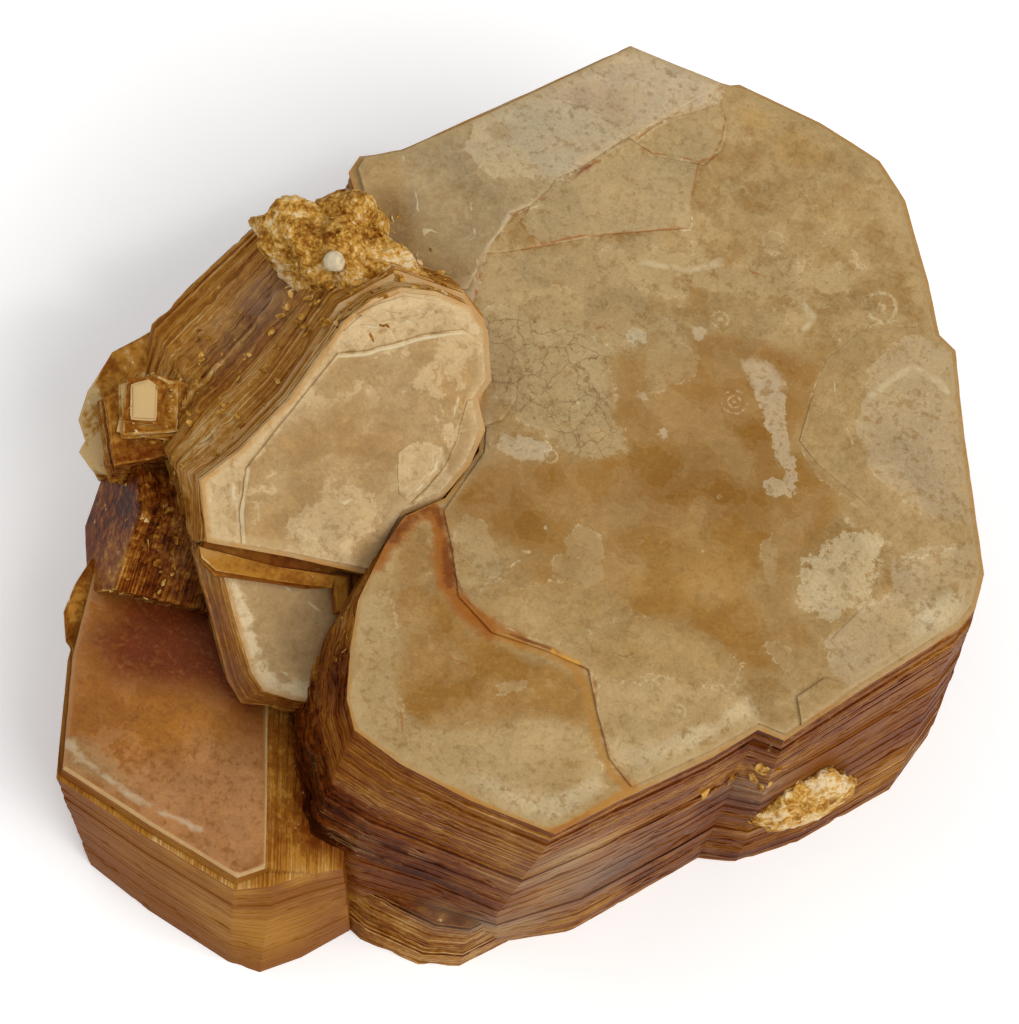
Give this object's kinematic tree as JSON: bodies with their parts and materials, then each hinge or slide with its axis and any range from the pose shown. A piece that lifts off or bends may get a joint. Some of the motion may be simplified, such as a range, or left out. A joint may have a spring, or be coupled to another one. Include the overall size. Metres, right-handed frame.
{
  "type": "phlogopite mica crystal cluster",
  "caption": "Cluster of thick six-sided phlogopite mica books with flat cleavage faces and layered sides, grown together; rests on a flat base.",
  "frame": {"origin": "centre of the bounding box, at the height of the flat base", "axes": "+Z is the leaf normal of the largest book, pointing up from the base; -Y is the side with the low front book; the leaning left book is towards -X"},
  "size_m": [0.05, 0.051, 0.0262],
  "materials": {
    "mica": "honey-brown mica: pearly cream and amber cleavage faces, darker red-brown layered sides; nearly opaque at this thickness"
  },
  "bodies": {
    "root": {"mica_cluster": "mica"}
  },
  "joints": []
}
